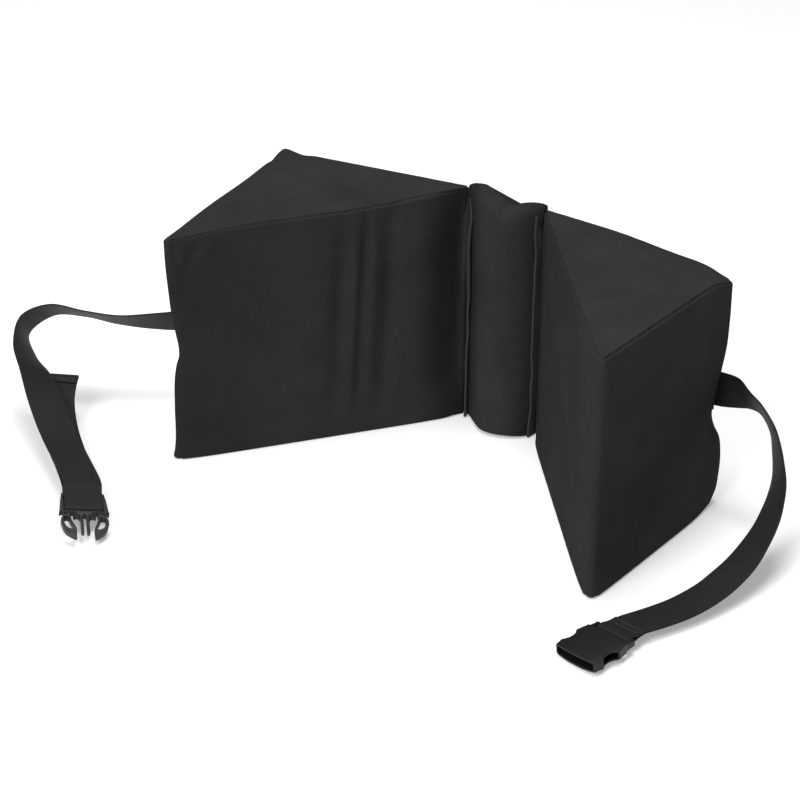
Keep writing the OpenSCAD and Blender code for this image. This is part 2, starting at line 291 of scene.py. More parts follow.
def make_mesh(name, verts, faces, mat, uvs=None, smooth=True):
    me = bpy.data.meshes.new(name)
    me.from_pydata([tuple(map(float, v)) for v in np.asarray(verts) * MM], [], [tuple(map(int, f)) for f in faces])
    me.validate()
    me.materials.append(mat)
    if uvs is not None:
        lay = me.uv_layers.new(name="UVMap")
        uv = np.asarray(uvs, np.float32)
        idx = np.zeros(len(me.loops), np.int64)
        me.loops.foreach_get("vertex_index", idx)
        lay.data.foreach_set("uv", (uv[idx] * MM).astype(np.float32).ravel())
    if smooth:
        me.polygons.foreach_set("use_smooth", np.ones(len(me.polygons), bool))
    me.update()
    o = bpy.data.objects.new(name, me)
    sc.collection.objects.link(o)
    return o


def sstep(a, b, x):
    t = np.clip((np.asarray(x, float) - a) / (b - a), 0, 1)
    return t * t * (3 - 2 * t)


def bell(x, c, w):
    return np.exp(-(((np.asarray(x, float) - c) / w) ** 2))


def table(x, pts):
    """smooth interpolation through given points"""
    xs, ys = np.array([p[0] for p in pts], float), np.array([p[1] for p in pts], float)
    m = np.gradient(ys, xs)
    x = np.clip(np.asarray(x, float), xs[0], xs[-1])
    i = np.clip(np.searchsorted(xs, x) - 1, 0, len(xs) - 2)
    h = xs[i + 1] - xs[i]
    t = (x - xs[i]) / h
    return ((2 * t**3 - 3 * t**2 + 1) * ys[i] + (t**3 - 2 * t**2 + t) * h * m[i]
            + (-2 * t**3 + 3 * t**2) * ys[i + 1] + (t**3 - t**2) * h * m[i + 1])


def ripple(a, b, seed, n=5, lo=18.0, hi=70.0):
    """gentle waviness: a few sines with fixed random directions, about -1..1"""
    g = np.random.default_rng(seed)
    out = 0
    for _ in range(n):
        ang, lam, ph = g.uniform(0, math.pi), g.uniform(lo, hi), g.uniform(0, 2 * math.pi)
        out = out + np.sin(2 * math.pi * (a * math.cos(ang) + b * math.sin(ang)) / lam + ph)
    return out / n


# ------------------------------------------------------------------ wedge cushions
H = 254.0
GAP, SPLAY = 82.0, math.radians(5)
C0 = np.array([-GAP / 2, 122.0])
B0 = C0 + 222.0 * np.array([-math.cos(SPLAY), -math.sin(SPLAY)])
A0 = B0 + 230.0 * np.array([math.sin(SPLAY), -math.cos(SPLAY)])


def unit(v):
    return np.asarray(v, float) / np.linalg.norm(v)


def outline(corners, radii, outs, step=3.4, arc=9):
    """Rounded triangle, clockwise. Returns points, outward normals, face index, distance along the face, face length."""
    V = [np.array(c, float) for c in corners]
    n = 3
    moved = []
    for k in range(n):
        inw = unit(unit(V[k - 1] - V[k]) + unit(V[(k + 1) % n] - V[k]))
        moved.append(V[k] - inw * outs[k])
    V = moved
    left = lambda d: np.array([-d[1], d[0]])
    P, N, F, S, L = [], [], [], [], []
    data = []
    for k in range(n):
        a, b, c = V[k - 1], V[k], V[(k + 1) % n]
        di, do = unit(b - a), unit(c - b)
        th = math.acos(np.clip(np.dot(-di, do), -1, 1))
        t = radii[k] / math.tan(th / 2)
        centre = b + unit(-di + do) * radii[k] / math.sin(th / 2)
        data.append((b, di, do, t, centre, radii[k]))
    for k in range(n):
        b, di, do, t, centre, r = data[k]
        ni, no = left(di), left(do)
        a0, a1 = math.atan2(ni[1], ni[0]), math.atan2(no[1], no[0])
        while a1 > a0:
            a1 -= 2 * math.pi
        ln_in = np.linalg.norm(V[k] - V[k - 1])
        for i in range(arc + 1):
            a = a0 + (a1 - a0) * i / arc
            nn = np.array([math.cos(a), math.sin(a)])
            P.append(centre + r * nn)
            N.append(nn)
            if i <= arc / 2:
                F.append((k - 1) % n); S.append(ln_in); L.append(ln_in)
            else:
                F.append(k); S.append(0.0); L.append(np.linalg.norm(V[(k + 1) % n] - V[k]))
        b2, di2, do2, t2, c2, r2_ = data[(k + 1) % n]
        s0, s1 = b + do * t, b2 - do * t2
        length = np.linalg.norm(b2 - b)
        m = int(np.linalg.norm(s1 - s0) / step)
        for i in range(1, m):
            p = s0 + (s1 - s0) * i / m
            P.append(p); N.append(no); F.append(k); S.append(np.dot(p - b, do)); L.append(length)
    return np.array(P), np.array(N), np.array(F), np.array(S), np.array(L), V


def wedge_cushion(name, right):
    # faces: 0 inner (hinge corner to front corner), 1 outer (front to outer back), 2 back (outer back to hinge corner)
    P, N, F, S, L, V = outline([C0, A0, B0], [4.0, 5.0, 9.0], [3.0, 9.5, 1.5])
    n = len(P)
    sides = [np.linalg.norm(V[(k + 1) % 3] - V[k]) for k in range(3)]
    a_, b_, c_ = sides[1], sides[2], sides[0]      # opposite to V0, V1, V2
    inc = (V[0] * a_ + V[1] * b_ + V[2] * c_) / (a_ + b_ + c_)
    d1, d2 = V[1] - V[0], V[2] - V[0]
    rin = abs(d1[0] * d2[1] - d1[1] * d2[0]) / sum(sides)
    cum = np.concatenate([[0], np.cumsum(np.linalg.norm(np.diff(P, axis=0), axis=1))])
    rt_, rb = 6.0, 3.4

    def dist_to_outline(q):
        A, B = P, np.roll(P, -1, axis=0)
        out = np.full(len(q), 1e9)
        for a, b in zip(A, B):
            ab = b - a
            t = np.clip(((q - a) @ ab) / max(ab @ ab, 1e-9), 0, 1)
            out = np.minimum(out, np.linalg.norm(q - a - t[:, None] * ab, axis=1))
        return out

    groove = lambda arc: -1.15 * np.exp(-((arc / 0.85) ** 2)) + 0.4 * np.exp(-(((np.abs(arc) - 2.4) / 1.3) ** 2))
    rings = []      # each: xy (n,2), z (n,), direction of the local normal (cos, sin), groove value, uv
    # bottom cap, from the middle outwards
    qs = [0.3, 0.7, 1.2, 1.9, 2.8, 4.0, 5.5, 7.5, 10, 13, 17, 22, 28, 35, 43, 52, 60]
    def cap(sign, r, z0):
        out = []
        o45 = r * (1 - math.cos(math.pi / 4))
        base = P - N * o45
        for q in qs:
            xy = inc + (base - inc) * (1 - q / rin)
            d = dist_to_outline(xy)
            f = np.where(d < r, r - np.sqrt(np.maximum(r * r - (r - np.minimum(d, r)) ** 2, 0)), 0)
            cosn = np.clip((r - d) / r, 0, 1)
            arc = r * (math.pi / 4 - np.arccos(np.clip(cosn, 0, 1)))
            out.append((xy, z0 - sign * f, cosn, sign * np.sqrt(1 - cosn**2), np.where(d < r * 1.6, groove(arc - (d > r) * (d - r)), 0), d))
        return out
    bottom = cap(-1, rb, 0.0)
    top = cap(1, rt_, H)
    for ring in bottom[::-1]:
        rings.append(("b", *ring))
    for deg in (45, 42, 38, 33, 26, 18, 9, 0):
        f = math.radians(deg)
        rings.append(("s", P - N * rb * (1 - math.cos(f)), np.full(n, rb - rb * math.sin(f)), np.full(n, math.cos(f)), np.full(n, -math.sin(f)),
                      np.full(n, groove(rb * (math.pi / 4 - f))), np.zeros(n)))
    m = 62
    for j in range(1, m):
        z = rb + (H - rt_ - rb) * j / m
        rings.append(("s", P, np.full(n, z), np.ones(n), np.zeros(n), np.zeros(n), np.zeros(n)))
    for deg in (0, 9, 18, 26, 33, 38, 42, 45):
        f = math.radians(deg)
        rings.append(("s", P - N * rt_ * (1 - math.cos(f)), np.full(n, H - rt_ + rt_ * math.sin(f)), np.full(n, math.cos(f)), np.full(n, math.sin(f)),
                      np.full(n, groove(rt_ * (math.pi / 4 - f))), np.zeros(n)))
    for ring in top:
        rings.append(("t", *ring))

    u = S / L
    verts, uvs, painted_shading_rows = [], [], []
    seed = 11 if right else 5
    for kind, xy, z, cn, sn, g, d in rings:
        xy, z = xy.copy(), z.copy()
        vv = z / H
        puck = 1 + 0.35 * ripple(cum, cum * 0, seed + 3, 4, 9, 22)
        disp = g * puck
        if kind == "s":
            env = np.clip(1 - np.abs(2 * vv - 1) ** 3.2, 0, 1)
            side = np.clip(1 - np.abs(2 * u - 1) ** 2.6, 0, 1)
            crown = np.choose(F, [2.2, 3.0, 3.0])
            w = crown * env * side
            w = w + 0.55 * env * side ** 0.5 * ripple(cum, z, seed, 6, 30, 110)
            w = w + face_detail(right, F, S, L, z)
            hd = L - S
            flat_ = np.maximum(sstep(12, 21, hd) * (1 - sstep(201, 210, hd)) * sstep(13, 20, z) * (1 - sstep(52, 62, z)),
                               sstep(176, 186, hd) * sstep(84, 98, z) * (1 - sstep(150, 164, z)))
            w = np.where(F == 2, w * (1 - flat_) - 0.35 * flat_, w)
            disp = disp + w
        xy = xy + N * (cn * disp)[:, None]
        z = z + sn * disp
        if kind == "t":
            c = 1 - np.exp(-((d / 26.0) ** 2))
            z = z + 2.4 * c + 0.5 * c * ripple(xy[:, 0], xy[:, 1], seed + 9, 5, 45, 130)
        dx, dz = soft_fields(right, xy, z)
        xy, z = xy + dx, z + dz
        verts.append(np.column_stack([xy, z]))
        if kind == "s":
            uvs.append(np.column_stack([cum, z]))
            # painted shade on the inner faces, darkest beside the hinge and less toward the front corner, with a band
            # of painted light on the left wedge's folds
            stops = ([(0, 0.26), (40, 0.20), (90, 0.12), (220, 0.10), (285, 0.02), (318, 0)] if right else
                     [(0, 0.34), (8, 0.30), (20, 0.32), (34, 0.26), (46, 0.08), (62, -0.12), (85, -0.06), (110, -0.03), (180, 0.0), (240, 0.03), (275, 0.10), (318, 0.10)])
            painted_shading_rows.append(np.where(F == 0, table(S, stops), 0.0))
        else:
            uvs.append(xy.copy())
            # the top caps are painted 10% lighter: painted light
            painted_shading_rows.append(np.full(n, -0.10 if kind == "t" else 0.0))
    verts = np.array(verts)
    R = len(rings)
    flat = verts.reshape(-1, 3)
    uvf = np.array(uvs).reshape(-1, 2)
    # middle vertices of the caps
    flat = np.vstack([flat, [[*inc, flat[:n, 2].mean()]], [[*inc, flat[(R - 1) * n:R * n, 2].mean()]]])
    uvf = np.vstack([uvf, [inc], [inc]])
    ib, it = R * n, R * n + 1
    faces = []
    for j in range(R - 1):
        for i in range(n):
            k = (i + 1) % n
            faces.append((j * n + i, (j + 1) * n + i, (j + 1) * n + k, j * n + k))
    for i in range(n):
        k = (i + 1) % n
        faces.append((ib, i, k))
        faces.append((it, (R - 1) * n + k, (R - 1) * n + i))
    if right:
        flat = flat * np.array([-1, 1, 1])
        faces = [f[::-1] for f in faces]
    flat[:, 2] = np.maximum(flat[:, 2], 0.15)
    # the caps' middle points: the bottom one unshaded, the top one painted 10% lighter
    return set_painted_shading(make_mesh(name, flat, faces, M_COVER, uvf), np.concatenate(painted_shading_rows + [[0.0, -0.10]]))


def face_detail(right, F, S, L, z):
    """wrinkles and folds on the side faces, as a normal displacement"""
    out = np.zeros(len(S))
    inner, outer, backf = F == 0, F == 1, F == 2
    low = (1 - sstep(8, 34, z)) * np.clip(1 - np.abs(2 * S / np.maximum(L, 1) - 1) ** 8, 0, 1)
    out += inner * 3.4 * low * sstep(9, 34, S) + outer * 1.8 * low
    out += inner * -1.2 * (1 - sstep(9, 26, S))
    if not right:
        # long soft folds on the inner face, deepest beside the hinge
        fade = sstep(12, 60, z) * (1 - 0.75 * sstep(200, 247, z))
        lean = (z - 127) * 0.05
        out += inner * fade * table(S + lean, [(0, 0), (6, -3.6), (15, -6.4), (30, -4.4), (45, 0.8), (58, 4.0), (70, 4.6), (84, 2.7), (95, -2.6),
                                               (105, 0.2), (113, 2.5), (123, -2.3), (132, 2.4), (144, -3.4), (161, 0.3), (200, 0.9), (260, 0.2), (330, 0)])
        # short puckers under the front corner's top seam
        s_a = L - S
        for s0, w, a, lo, k in ((15, 3.6, -1.9, 216, 0.0), (25, 4.6, 1.5, 214, 0.12), (40, 4.4, -2.3, 208, 0.55), (52, 6, 1.3, 214, 0.5), (24, 4, -1.3, 186, 0.0), (33, 6, 0.9, 180, 0.0)):
            top_ = 244 if lo > 200 else 214
            out += inner * a * sstep(lo, lo + 18, z) * (1 - sstep(top_, top_ + 6, z)) * bell(s_a, s0 - (244 - z) * k, w)
    else:
        fade = sstep(15, 60, z) * (1 - sstep(215, 248, z))
        out += inner * fade * (-3.6 * bell(S, 20, 12) + 1.2 * bell(S, 46, 14))
        out += inner * 0.8 * fade * bell(S, 120, 45)
        out += outer * fade * 0.7 * bell(S, 60, 40)
    # the back faces are a little slack above the zip
    out += backf * 0.9 * sstep(55, 80, z) * (1 - sstep(95, 140, z)) * bell(S, L * 0.5, L * 0.3)
    return out


def soft_fields(right, xy, z):
    """slow displacements of whole corners and edges, in plan (left wedge's frame) and in height"""
    dx = np.zeros_like(xy)
    dz = np.zeros(len(z))
    dB = np.linalg.norm(xy - B0, axis=1)
    dA = np.linalg.norm(xy - A0, axis=1)
    dC = np.linalg.norm(xy - C0, axis=1)
    hi = sstep(150, 250, z)
    if not right:
        # front corner's upright edge is drawn in at mid height
        t = table(z, [(0, -0.5), (12, 2.0), (60, 3.6), (98, 6.2), (106, 8.2), (112, 11.0), (122, 11.4), (140, 8.2), (165, 3.8), (190, 1.4), (225, -1.2), (254, -2.0)])
        dx += np.outer(np.exp(-((dA / 30) ** 2)) * t, unit(inc_dir(A0)))
        ab = np.clip(((xy - B0) @ (C0 - B0)) / ((C0 - B0) @ (C0 - B0)), 0, 1)
        nb = np.array([-math.sin(SPLAY), math.cos(SPLAY)])
        off = np.abs((xy - C0) @ nb)
        dz += hi * (5.2 + 3.4 * ab) * np.exp(-((off / 60) ** 2))
        dz += hi * (3.0 * bell(dB, 0, 13) - 1.6 * bell(dB, 26, 9))
        dz += -hi * 5.5 * np.exp(-((dA / 55) ** 2))
    else:
        t = table(z, [(0, 7.0), (7, 4.0), (16, 1.2), (30, -0.3), (60, -0.5), (74, 1.6), (88, 8.0), (100, 11.0), (112, 10.4), (132, 7.4), (152, 4.0), (175, 1.0), (200, 0), (254, 0)])
        dx += np.outer(np.exp(-((dB / 34) ** 2)) * t, unit(inc_dir(B0)))
        # outer back corner droops, and the back top edge sags
        along = np.clip(((xy - C0) @ (B0 - C0)) / ((B0 - C0) @ (B0 - C0)), 0, 1)
        nb = np.array([-math.sin(SPLAY), math.cos(SPLAY)])
        off = np.abs((xy - C0) @ nb)
        dz += hi * (4.5 - 5.0 * sstep(0.35, 0.8, along)) * np.exp(-((off / 50) ** 2))
        dz += -hi * 9.0 * np.exp(-((dB / 24) ** 2))
    return dx, dz


def inc_dir(corner):
    others = {tuple(A0): (B0, C0), tuple(B0): (A0, C0), tuple(C0): (A0, B0)}[tuple(corner)]
    return unit(others[0] - corner) + unit(others[1] - corner)


left_cushion = wedge_cushion("left_wedge_cushion", False)
right_cushion = wedge_cushion("right_wedge_cushion", True)
for o, s in ((left_cushion, "left"), (right_cushion, "right")):
    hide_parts(f"{s}_foam_core", f"{s}_inner_panel", f"{s}_outer_panel", f"{s}_back_panel", f"{s}_top_panel", f"{s}_bottom_panel")
    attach(o, f"{s}_wedge")

# ------------------------------------------------------------------ centre panel
HW = GAP / 2 - 0.6


def centre_panel():
    nf, nb_ = 56, 36
    xs_f = -HW * np.cos(np.pi * np.arange(nf + 1) / nf)
    xs_b = HW * np.cos(np.pi * np.arange(nb_ + 1) / nb_)
    cols = [(x, 0) for x in xs_f] + [(x, 1) for x in xs_b[1:-1]]
    x0 = np.array([c[0] for c in cols])
    side = np.array([c[1] for c in cols])
    n = len(cols)
    e = np.clip(1 - (x0 / HW) ** 2, 0, 1)
    rt_, rb = 15.0, 5.0
    rows = []
    for deg in (88, 78, 66, 52, 36, 18):
        f = math.radians(deg)
        rows.append((rb - rb * math.sin(f), math.cos(f) ** 0.7))
    for z in np.linspace(rb, H - rt_, 58):
        rows.append((z, 1.0))
    for deg in (10, 20, 30, 40, 50, 60, 68, 76, 83, 88):
        f = math.radians(deg)
        rows.append((H - rt_ + rt_ * math.sin(f), math.cos(f) ** 0.8))
    rows = [(0.2, 0.02)] + rows + [(H, 0.02)]
    verts, uvs = [], []
    for z, k in rows:
        thick = sstep(218, 250, z) * (1 - e) ** 1.5
        ff = 1 + 19.5 * e ** 0.80 * (1 + 0.05 * np.sin(z / 41.0 + 1.0)) + 3.5 * thick
        fb = 1 + 3.2 * e + 3.2 * thick
        ff = ff + (1 - sstep(4, 40, z)) * table(x0, [(-41, 0), (-36, 0), (-29, 0.8), (-20, 4.2), (-11, 8.2), (2, 9.6), (16, 9.2), (28, 8.8), (36, 7.2), (41, 2.5)])
        t = np.where(side == 0, -ff, fb)
        fade = sstep(8, 40, z) * (1 - sstep(220, 250, z))
        wr = fade * (0.7 * ripple(x0, z * 0.35, 21, 6, 14, 40) * e ** 0.5 + 0.5 * bell(np.abs(x0), HW - 7, 4) * ripple(z + x0 * 0, z * 0, 33, 5, 14, 38))
        y = 122.0 - 0.6 + t * k + np.where(side == 0, -wr, wr * 0.4)
        zz = np.full(n, z)
        up_ = sstep(205, 252, zz)
        lump = table(x0, [(-41, 9), (-36, 12), (-30, 13.5), (-24, 14), (-17, 10.5), (-10, 6.8), (-3, 4.5), (4, -0.5), (8, 0.5), (11, 1.5), (20, 5), (30, 8), (36, 8.8), (41, 8)])
        zz = zz + up_ ** 2 * lump
        x = x0.copy()
        ear = up_ ** 3
        x = x - ear * 4 * bell(x0, -HW, 13) + ear * 4 * bell(x0, HW, 13)
        # seam line wanders a little
        x = x + 0.5 * np.sin(z / 19.0 + np.sign(x0)) * (np.abs(x0) / HW) ** 6
        verts.append(np.column_stack([x, y, zz]))
        uvs.append(np.column_stack([x0 + side * 90, zz]))
    R = len(rows)
    v = np.array(verts).reshape(-1, 3)
    uvf = np.array(uvs).reshape(-1, 2)
    faces = []
    for j in range(R - 1):
        for i in range(n):
            k = (i + 1) % n
            faces.append((j * n + i, j * n + k, (j + 1) * n + k, (j + 1) * n + i))
    faces.append(tuple(range(n))[::-1])
    faces.append(tuple((R - 1) * n + i for i in range(n)))
    # painted shade on the pad's front, darker beside both seams, with a little painted light near the middle
    painted_shading = np.where(side == 0, table(x0, [(-41, 0.42), (-35, 0.40), (-29, 0.22), (-21, 0.0), (-12, -0.10), (0, -0.06), (14, 0.02), (25, 0.12), (33, 0.28), (41, 0.36)]), 0.0)
    return set_painted_shading(make_mesh("centre_panel_pad", v, faces, M_PANEL, uvf), np.tile(painted_shading, len(rows)))


pad = centre_panel()
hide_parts("centre_foam_pad", "centre_front_cover", "centre_back_cover")
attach(pad, "centre")


def strip(name, path, width_pts, mat, z0, z1, thick, rows=60, wav=None):
    """upright cloth strip: path is its plan line, drawn from z0 to z1"""
    path = np.array(path, float)
    t = np.gradient(path, axis=0)
    t /= np.linalg.norm(t, axis=1)[:, None]
    nrm = np.column_stack([-t[:, 1], t[:, 0]])
    prof = []
    m = len(path)
    for i in range(m):
        prof.append(path[i] + nrm[i] * thick / 2)
    prof.append(path[-1] + t[-1] * thick * 0.35)
    for i in range(m - 1, -1, -1):
        prof.append(path[i] - nrm[i] * thick / 2)
    prof.append(path[0] - t[0] * thick * 0.35)
    prof = np.array(prof)
    n = len(prof)
    cum = np.concatenate([[0], np.cumsum(np.linalg.norm(np.diff(prof, axis=0), axis=1))])
    verts, uvs = [], []
    for z in np.linspace(z0, z1, rows):
        p = prof.copy()
        if wav is not None:
            p = p + wav(p, z)
        verts.append(np.column_stack([p, np.full(n, z)]))
        uvs.append(np.column_stack([cum, np.full(n, z)]))
    v = np.array(verts).reshape(-1, 3)
    faces = []
    for j in range(rows - 1):
        for i in range(n):
            k = (i + 1) % n
            faces.append((j * n + i, (j + 1) * n + i, (j + 1) * n + k, j * n + k))
    faces.append(tuple(range(n)))
    faces.append(tuple((rows - 1) * n + i for i in range(n))[::-1])
    o = make_mesh(name, v, faces, mat, np.array(uvs).reshape(-1, 2))
    bm = bmesh.new()
    bm.from_mesh(o.data)
    bmesh.ops.recalc_face_normals(bm, faces=bm.faces)
    bm.to_mesh(o.data)
    bm.free()
    return o


for s, sg in (("left", -1), ("right", 1)):
    cx = sg * GAP / 2
    # raised seam allowance that stands out of the hinge line
    d = unit([sg * -0.19, -0.98])
    start = np.array([cx - sg * 0.1, 120.4])
    path = [start + d * q for q in (0, 1.4, 2.8, 4.2, 5.6, 7.0, 8.0)]
    base_w = 1.0

    def wav(p, z, cx=cx, sg=sg):
        out = np.zeros_like(p)
        reach = np.clip((120.4 - p[:, 1]) / 6.4, 0, 1)
        w = table(z, [(0, 0.2), (60, 0.0), (110, 0.9), (160, 1.1), (185, 0.1), (205, 0.7), (235, 2.0), (254, 1.2)])
        out[:, 0] = reach * -sg * (w * (1 if sg < 0 else 0.7) + 0.3 * math.sin(z / 7.0))
        out[:, 1] = reach * (0.5 * math.sin(z / 11.0 + sg) + 0.3 * math.sin(z / 5.3) - (4.2 if sg > 0 else 1.0) * (1 - sstep(3, 34, z)))
        return out

    lip = strip(f"{s}_hinge_seam_fin", path, None, M_SEAM, 1.5, 252.5, 2.5, rows=150, wav=wav)
    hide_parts(f"{s}_hinge_seam")
    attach(lip, "centre")
    # cloth hinge between the wedge's sharp corner and the panel
    a = C0 + unit(inc_dir(C0)) * 9.0
    a = np.array([-a[0] * (1 if sg > 0 else -1), a[1]])
    b = np.array([cx - sg * 5.0, 121.6])
    mid = np.array([cx, 122.2])
    path = [a + (mid - a) * q for q in np.linspace(0, 1, 8)] + [mid + (b - mid) * q for q in np.linspace(0, 1, 7)[1:]]
    web = strip(f"{s}_hinge_cloth", path, None, M_COVER, 2.0, 252.0, 2.2, rows=50)
    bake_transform(web)


# ------------------------------------------------------------------ where the buckle halves lie (as in the frame)
def rot(axis, deg):
    a = math.radians(deg)
    c, s = math.cos(a), math.sin(a)
    return {"x": np.array([[1, 0, 0], [0, c, -s], [0, s, c]]), "y": np.array([[c, 0, s], [0, 1, 0], [-s, 0, c]]),
            "z": np.array([[c, -s, 0], [s, c, 0], [0, 0, 1]])}[axis]


def place(o, a):
    return np.array(o, float), rot("z", a[2]) @ rot("y", a[1]) @ rot("x", a[0])


MO, MR = place([-251, -265, 20.5], [-9, 11, -48])
FO, FR = place([296.5, -182.5, 11], [3, 3.5, -105])
mpt = lambda p: MO + MR @ np.array(p, float)
fpt = lambda p: FO + FR @ np.array(p, float)
MW, FW = MR @ np.array([0, -1.0, 0]), FR @ np.array([0, 1.0, 0])

# ------------------------------------------------------------------ straps
LEFT = [
    ([-240, 106.5, 127.5], [0, 0, 1]), ([-256, 105.1, 127.2], [0, 0, 1]), ([-272, 101.5, 125.5], [0.02, -0.1, 0.99]), ([-290, 88, 121], [0.1, -0.3, 0.95]), ([-299, 57, 108], [0.2, -0.4, 0.9]),
    ([-303, 24, 94], [0.2, -0.4, 0.9]), ([-320, -5, 88], [0.3, -0.4, 0.85]), ([-346, -27, 88], [0.4, -0.5, 0.78]),
    ([-375, -47, 90], [0.5, -0.6, 0.65]), ([-405, -64, 96], [0.5, -0.65, 0.58]), ([-434, -82, 100], [0.4, -0.6, 0.7]),
    ([-449, -109, 90], [0.2, -0.5, 0.85]), ([-432, -132, 74], [-0.2, -0.7, 0.7]), ([-404, -149, 62], [-0.4, -0.8, 0.4]),
    ([-377, -168, 49], [-0.55, -0.8, 0.2]), ([-350, -187, 38], [-0.6, -0.8, 0.1]), ([-322, -207, 31], [-0.6, -0.8, 0.12]),
    ([-294, -227, 29], [-0.62, -0.76, 0.16]),
    (mpt([-20, 0, 4.0]), MW), (mpt([-4, 0, 4.3]), MW), (mpt([4, 0, 4.1]), MW), (mpt([11, 0, 3.9]), MW), (mpt([19.4, 0, 3.9]), MW),
    (mpt([22.6, 0, 2.7]), MW), (mpt([23.5, 0, -0.2]), MW)]
TAIL = [
    (mpt([23.4, 0, -0.6]), MW), (mpt([22.4, 0, -3.0]), MW), (mpt([18.8, 0, -4.3]), MW), (mpt([8, 0, -4.2]), MW), (mpt([-4, 0, -4.4]), MW), (mpt([-20, 0, -3.6]), MW),
    ([-294, -225, 21], [-0.62, -0.76, 0.15]), ([-322, -203, 23], [-0.62, -0.76, 0.12]), ([-350, -179, 28], [-0.65, -0.75, 0.1]),
    ([-376, -152, 35], [-0.72, -0.68, 0.08]), ([-391, -131, 41], [-0.78, -0.61, 0.05]), ([-401, -113, 45], [-0.82, -0.57, 0.05])]
RIGHT = [
    ([242, 106.6, 121], [0, 0, 1]), ([258, 105.6, 123], [0.02, -0.03, 1]), ([274, 105.5, 124], [0.1, -0.22, 0.96]), ([288, 103, 122], [0.25, -0.58, 0.78]),
    ([303, 98, 117], [0.38, -0.72, 0.58]), ([319, 88, 106], [0.45, -0.74, 0.5]), ([331, 75, 93], [0.5, -0.68, 0.52]), ([341, 60, 80], [0.54, -0.6, 0.57]),
    ([348, 44, 67], [0.65, -0.43, 0.62]), ([351.5, 26, 54], [0.75, -0.3, 0.58]), ([353, 8, 44], [0.83, -0.22, 0.5]), ([352, -12, 34], [0.9, -0.2, 0.38]),
    ([350, -32, 26], [0.95, -0.2, 0.25]), ([346, -52, 20], [0.97, -0.22, 0.16]), ([341, -73, 15.5], [0.96, -0.25, 0.12]), ([334, -94, 12.5], [0.95, -0.28, 0.08]),
    ([326, -114, 11], [0.94, -0.3, 0.06]), ([315, -136, 10.5], [0.94, -0.28, 0.05]), (fpt([-25, 0, -1.6]), FW)]
WEB_W, WEB_T = 38.0, 1.6


def smooth_path(route, k, m):
    r = [np.array(p[k], float) for p in route]
    at = lambda i: 2 * r[0] - r[1] if i < 0 else 2 * r[-1] - r[-2] if i >= len(r) else r[i]
    out = []
    for i in range(len(r) - 1):
        a, b, c, d = at(i - 1), r[i], r[i + 1], at(i + 2)
        for j in range(m):
            t = j / m
            out.append(0.5 * (2 * b + (c - a) * t + (2 * a - 5 * b + 4 * c - d) * t * t + (3 * b - a - 3 * c + d) * t**3))
    out.append(r[-1])
    return np.array(out)


def frames(p, w):
    t = np.gradient(p, axis=0)
    t /= np.linalg.norm(t, axis=1)[:, None]
    s = w - t * np.sum(w * t, axis=1)[:, None]
    s /= np.linalg.norm(s, axis=1)[:, None]
    nn = np.cross(t, s)
    return t, s, nn


def band_section(ww, tt, k=14):
    """closed outline of the webbing: flat faces, rounded selvedges that are a little fuller"""
    half, th = ww / 2, tt / 2
    pts = []
    for x in np.linspace(half - th * 1.1, -half + th * 1.1, k):
        pts.append((x, th * (1 - 0.10 * (abs(x) > half - 3.4) + 0.0)))
    for a in (45, 90, 135):
        pts.append((-half + th * 1.1 - th * 1.1 * math.sin(math.radians(a)), th * 1.0 * math.cos(math.radians(a))))
    for x in np.linspace(-half + th * 1.1, half - th * 1.1, k):
        pts.append((x, -th * (1 - 0.10 * (abs(x) > half - 3.4))))
    for a in (135, 90, 45):
        pts.append((half - th * 1.1 + th * 1.1 * math.sin(math.radians(a)), th * 1.0 * math.cos(math.radians(a))))
    return np.array(pts)


def band(name, route, m, mat=None, ww=WEB_W, tt=WEB_T, offset=0.0, p=None, w=None, crease=None):
    if p is None:
        p, w = smooth_path(route, 0, m), smooth_path(route, 1, m)
    t, s, nn = frames(p, w)
    p = p + nn * offset
    sec = band_section(ww, tt)
    n = len(sec)
    cum = np.concatenate([[0], np.cumsum(np.linalg.norm(np.diff(p, axis=0), axis=1))])
    verts, uvs = [], []
    for i in range(len(p)):
        base = p[i] + np.outer(sec[:, 0], s[i])
        lift = np.zeros(n) if crease is None else crease(base)
        verts.append(base + np.outer(sec[:, 1] + lift, nn[i]))
        uvs.append(np.column_stack([np.full(n, cum[i]), sec[:, 0]]))
    v = np.array(verts).reshape(-1, 3)
    faces = []
    for j in range(len(p) - 1):
        for i in range(n):
            k = (i + 1) % n
            faces.append((j * n + i, j * n + k, (j + 1) * n + k, (j + 1) * n + i))
    faces.append(tuple(range(n))[::-1])
    faces.append(tuple((len(p) - 1) * n + i for i in range(n)))
    o = make_mesh(name, v, faces, mat or M_WEB, np.array(uvs).reshape(-1, 2))
    bm = bmesh.new()
    bm.from_mesh(o.data)
    bmesh.ops.recalc_face_normals(bm, faces=bm.faces)
    bm.to_mesh(o.data)
    bm.free()
    return o, p, cum[-1]


def stitches(name, p0, p1, normal, count, length=2.6, thick=0.42, rise=0.25):
    """a row of lockstitches from p0 to p1, lying on a surface with this normal"""
    p0, p1, normal = np.array(p0, float), np.array(p1, float), unit(normal)
    d = unit(p1 - p0)
    side = np.cross(normal, d)
    verts, faces = [], []
    for i in range(count):
        c = p0 + (p1 - p0) * (i + 0.5) / count
        base = len(verts)
        ks, ns = 7, 8
        for a in range(ks + 1):
            q = -1 + 2 * a / ks
            r = thick * math.sqrt(max(0.0, 1 - q**4)) + 0.02
            cc = c + d * q * length / 2 + normal * (rise * (1 - q * q) - 0.12)
            for b in range(ns):
                an = 2 * math.pi * b / ns
                verts.append(cc + side * r * math.cos(an) + normal * r * math.sin(an))
        for a in range(ks):
            for b in range(ns):
                e_ = (b + 1) % ns
                faces.append((base + a * ns + b, base + (a + 1) * ns + b, base + (a + 1) * ns + e_, base + a * ns + e_))
        faces.append(tuple(base + b for b in range(ns)))
        faces.append(tuple(base + ks * ns + b for b in range(ns))[::-1])
    return verts, faces


